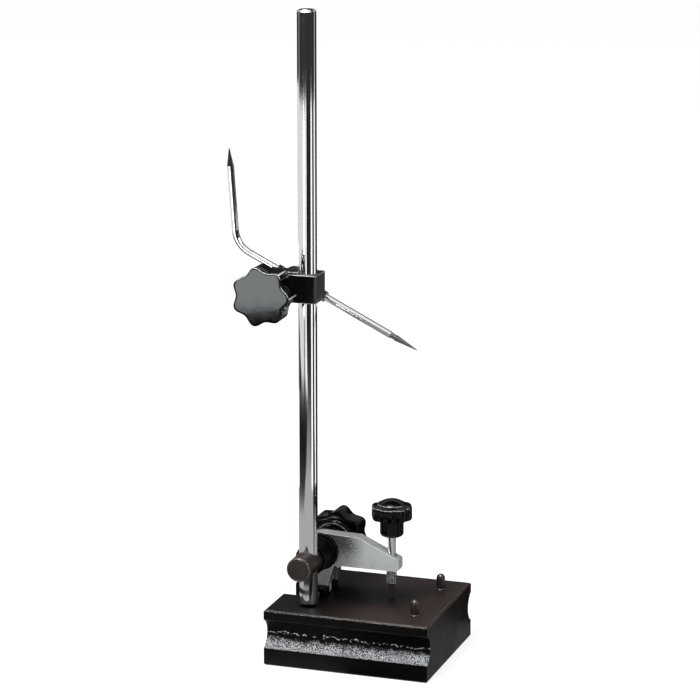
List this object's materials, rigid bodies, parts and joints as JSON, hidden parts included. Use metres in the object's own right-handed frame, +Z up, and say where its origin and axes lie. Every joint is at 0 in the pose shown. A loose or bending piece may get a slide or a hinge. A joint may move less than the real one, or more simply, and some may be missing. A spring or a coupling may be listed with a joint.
{
  "type": "surface gauge",
  "caption": "Surface gauge: grooved heavy base, tilting rocker with fine screw, swivelling spindle, and a star-knob clamp that holds a bent scriber.",
  "frame": {"origin": "centre of the base's sole, on the face that it stands on", "axes": "+X towards the adjusting screw, +Y to the back where the swivel knob is, +Z up along the spindle"},
  "size_m": [0.1157, 0.09, 0.3295],
  "materials": {
    "base_finish": "black lacquer over machined and as-cast faces",
    "black_steel": "black oxide, satin",
    "satin_plate": "satin plated",
    "polished_steel": "polished",
    "plain_steel": "bright turned steel",
    "black_plastic": "gloss black thermoset",
    "brass_insert": "turned brass"
  },
  "bodies": {
    "base": {"base": "base_finish", "pivot_pin": "plain_steel", "return_spring": "plain_steel"},
    "rocker": {"rocker": "satin_plate", "rocker_foot": "black_steel", "foot_dowel": "plain_steel", "stop_lug": "black_steel", "screw_bush": "polished_steel"},
    "screw_point": {"screw_point": "black_steel"},
    "lift_screw": {"adjusting_screw": "polished_steel", "adjusting_knob": "black_plastic"},
    "swivel": {"swivel_bolt": "black_steel", "swivel_snug": "black_steel", "swivel_spacer": "black_steel"},
    "swivel_nut": {"swivel_knob": "black_plastic", "swivel_knob_insert": "brass_insert"},
    "spindle": {"spindle": "polished_steel"},
    "clamp": {"clamp_block": "black_steel", "clamp_collar": "black_steel"},
    "clamp_nut": {"clamp_knob": "black_plastic", "clamp_knob_insert": "brass_insert"},
    "holder": {"clamp_stud": "black_steel", "scriber_holder": "black_steel"},
    "scriber": {"scriber": "polished_steel", "scriber_point": "polished_steel"},
    "pin_front": {"guide_pin_front": "black_steel", "guide_ring_front": "plain_steel"},
    "pin_back": {"guide_pin_back": "black_steel", "guide_ring_back": "plain_steel"}
  },
  "joints": [
    {"name": "rocker_tilt", "type": "hinge", "parent": "base", "child": "rocker", "pos_m": [-0.0245, 0, 0.023], "axis": [0, -1, 0], "range_deg": [-1.5, 4], "deforming": ["return_spring"]},
    {"name": "screw_advance", "type": "slide", "parent": "rocker", "child": "screw_point", "axis": [0, 0, -1], "range_m": [-0.0012, 0.003]},
    {"name": "screw_turn", "type": "hinge", "parent": "screw_point", "child": "lift_screw", "pos_m": [0.0122, 0, 0.06], "axis": [0, 0, -1], "range_deg": [-600, 1500]},
    {"name": "swivel_tilt", "type": "hinge", "parent": "rocker", "child": "swivel", "pos_m": [-0.0245, 0, 0.0517], "axis": [0, 1, 0], "range_deg": [-90, 90]},
    {"name": "swivel_knob_turn", "type": "hinge", "parent": "swivel", "child": "swivel_nut", "pos_m": [-0.0245, 0.022, 0.0517], "axis": [0, 1, 0], "continuous": true},
    {"name": "spindle_turn", "type": "hinge", "parent": "swivel", "child": "spindle", "pos_m": [-0.0245, -0.0225, 0.0517], "axis": [0, 0, 1], "continuous": true},
    {"name": "clamp_slide", "type": "slide", "parent": "spindle", "child": "clamp", "axis": [0, 0, 1], "range_m": [-0.07, 0.12]},
    {"name": "clamp_knob_turn", "type": "hinge", "parent": "clamp", "child": "clamp_nut", "pos_m": [-0.0387, -0.042, 0.1927], "axis": [0, 1, 0], "continuous": true},
    {"name": "holder_turn", "type": "hinge", "parent": "clamp", "child": "holder", "pos_m": [-0.0387, -0.012, 0.1927], "axis": [0, 1, 0], "continuous": true},
    {"name": "scriber_slide", "type": "slide", "parent": "holder", "child": "scriber", "axis": [0.8973, 0, -0.4415], "range_m": [-0.033, 0.013]},
    {"name": "pin_front_slide", "type": "slide", "parent": "base", "child": "pin_front", "axis": [0, 0, 1], "range_m": [-0.0085, 0]},
    {"name": "pin_back_slide", "type": "slide", "parent": "base", "child": "pin_back", "axis": [0, 0, 1], "range_m": [-0.0085, 0]}
  ],
  "couplings": [
    {"joint": "screw_advance", "follows": "rocker_tilt", "m_per_rad": 0.0367},
    {"joint": "screw_turn", "follows": "rocker_tilt", "ratio": 329.42}
  ]
}
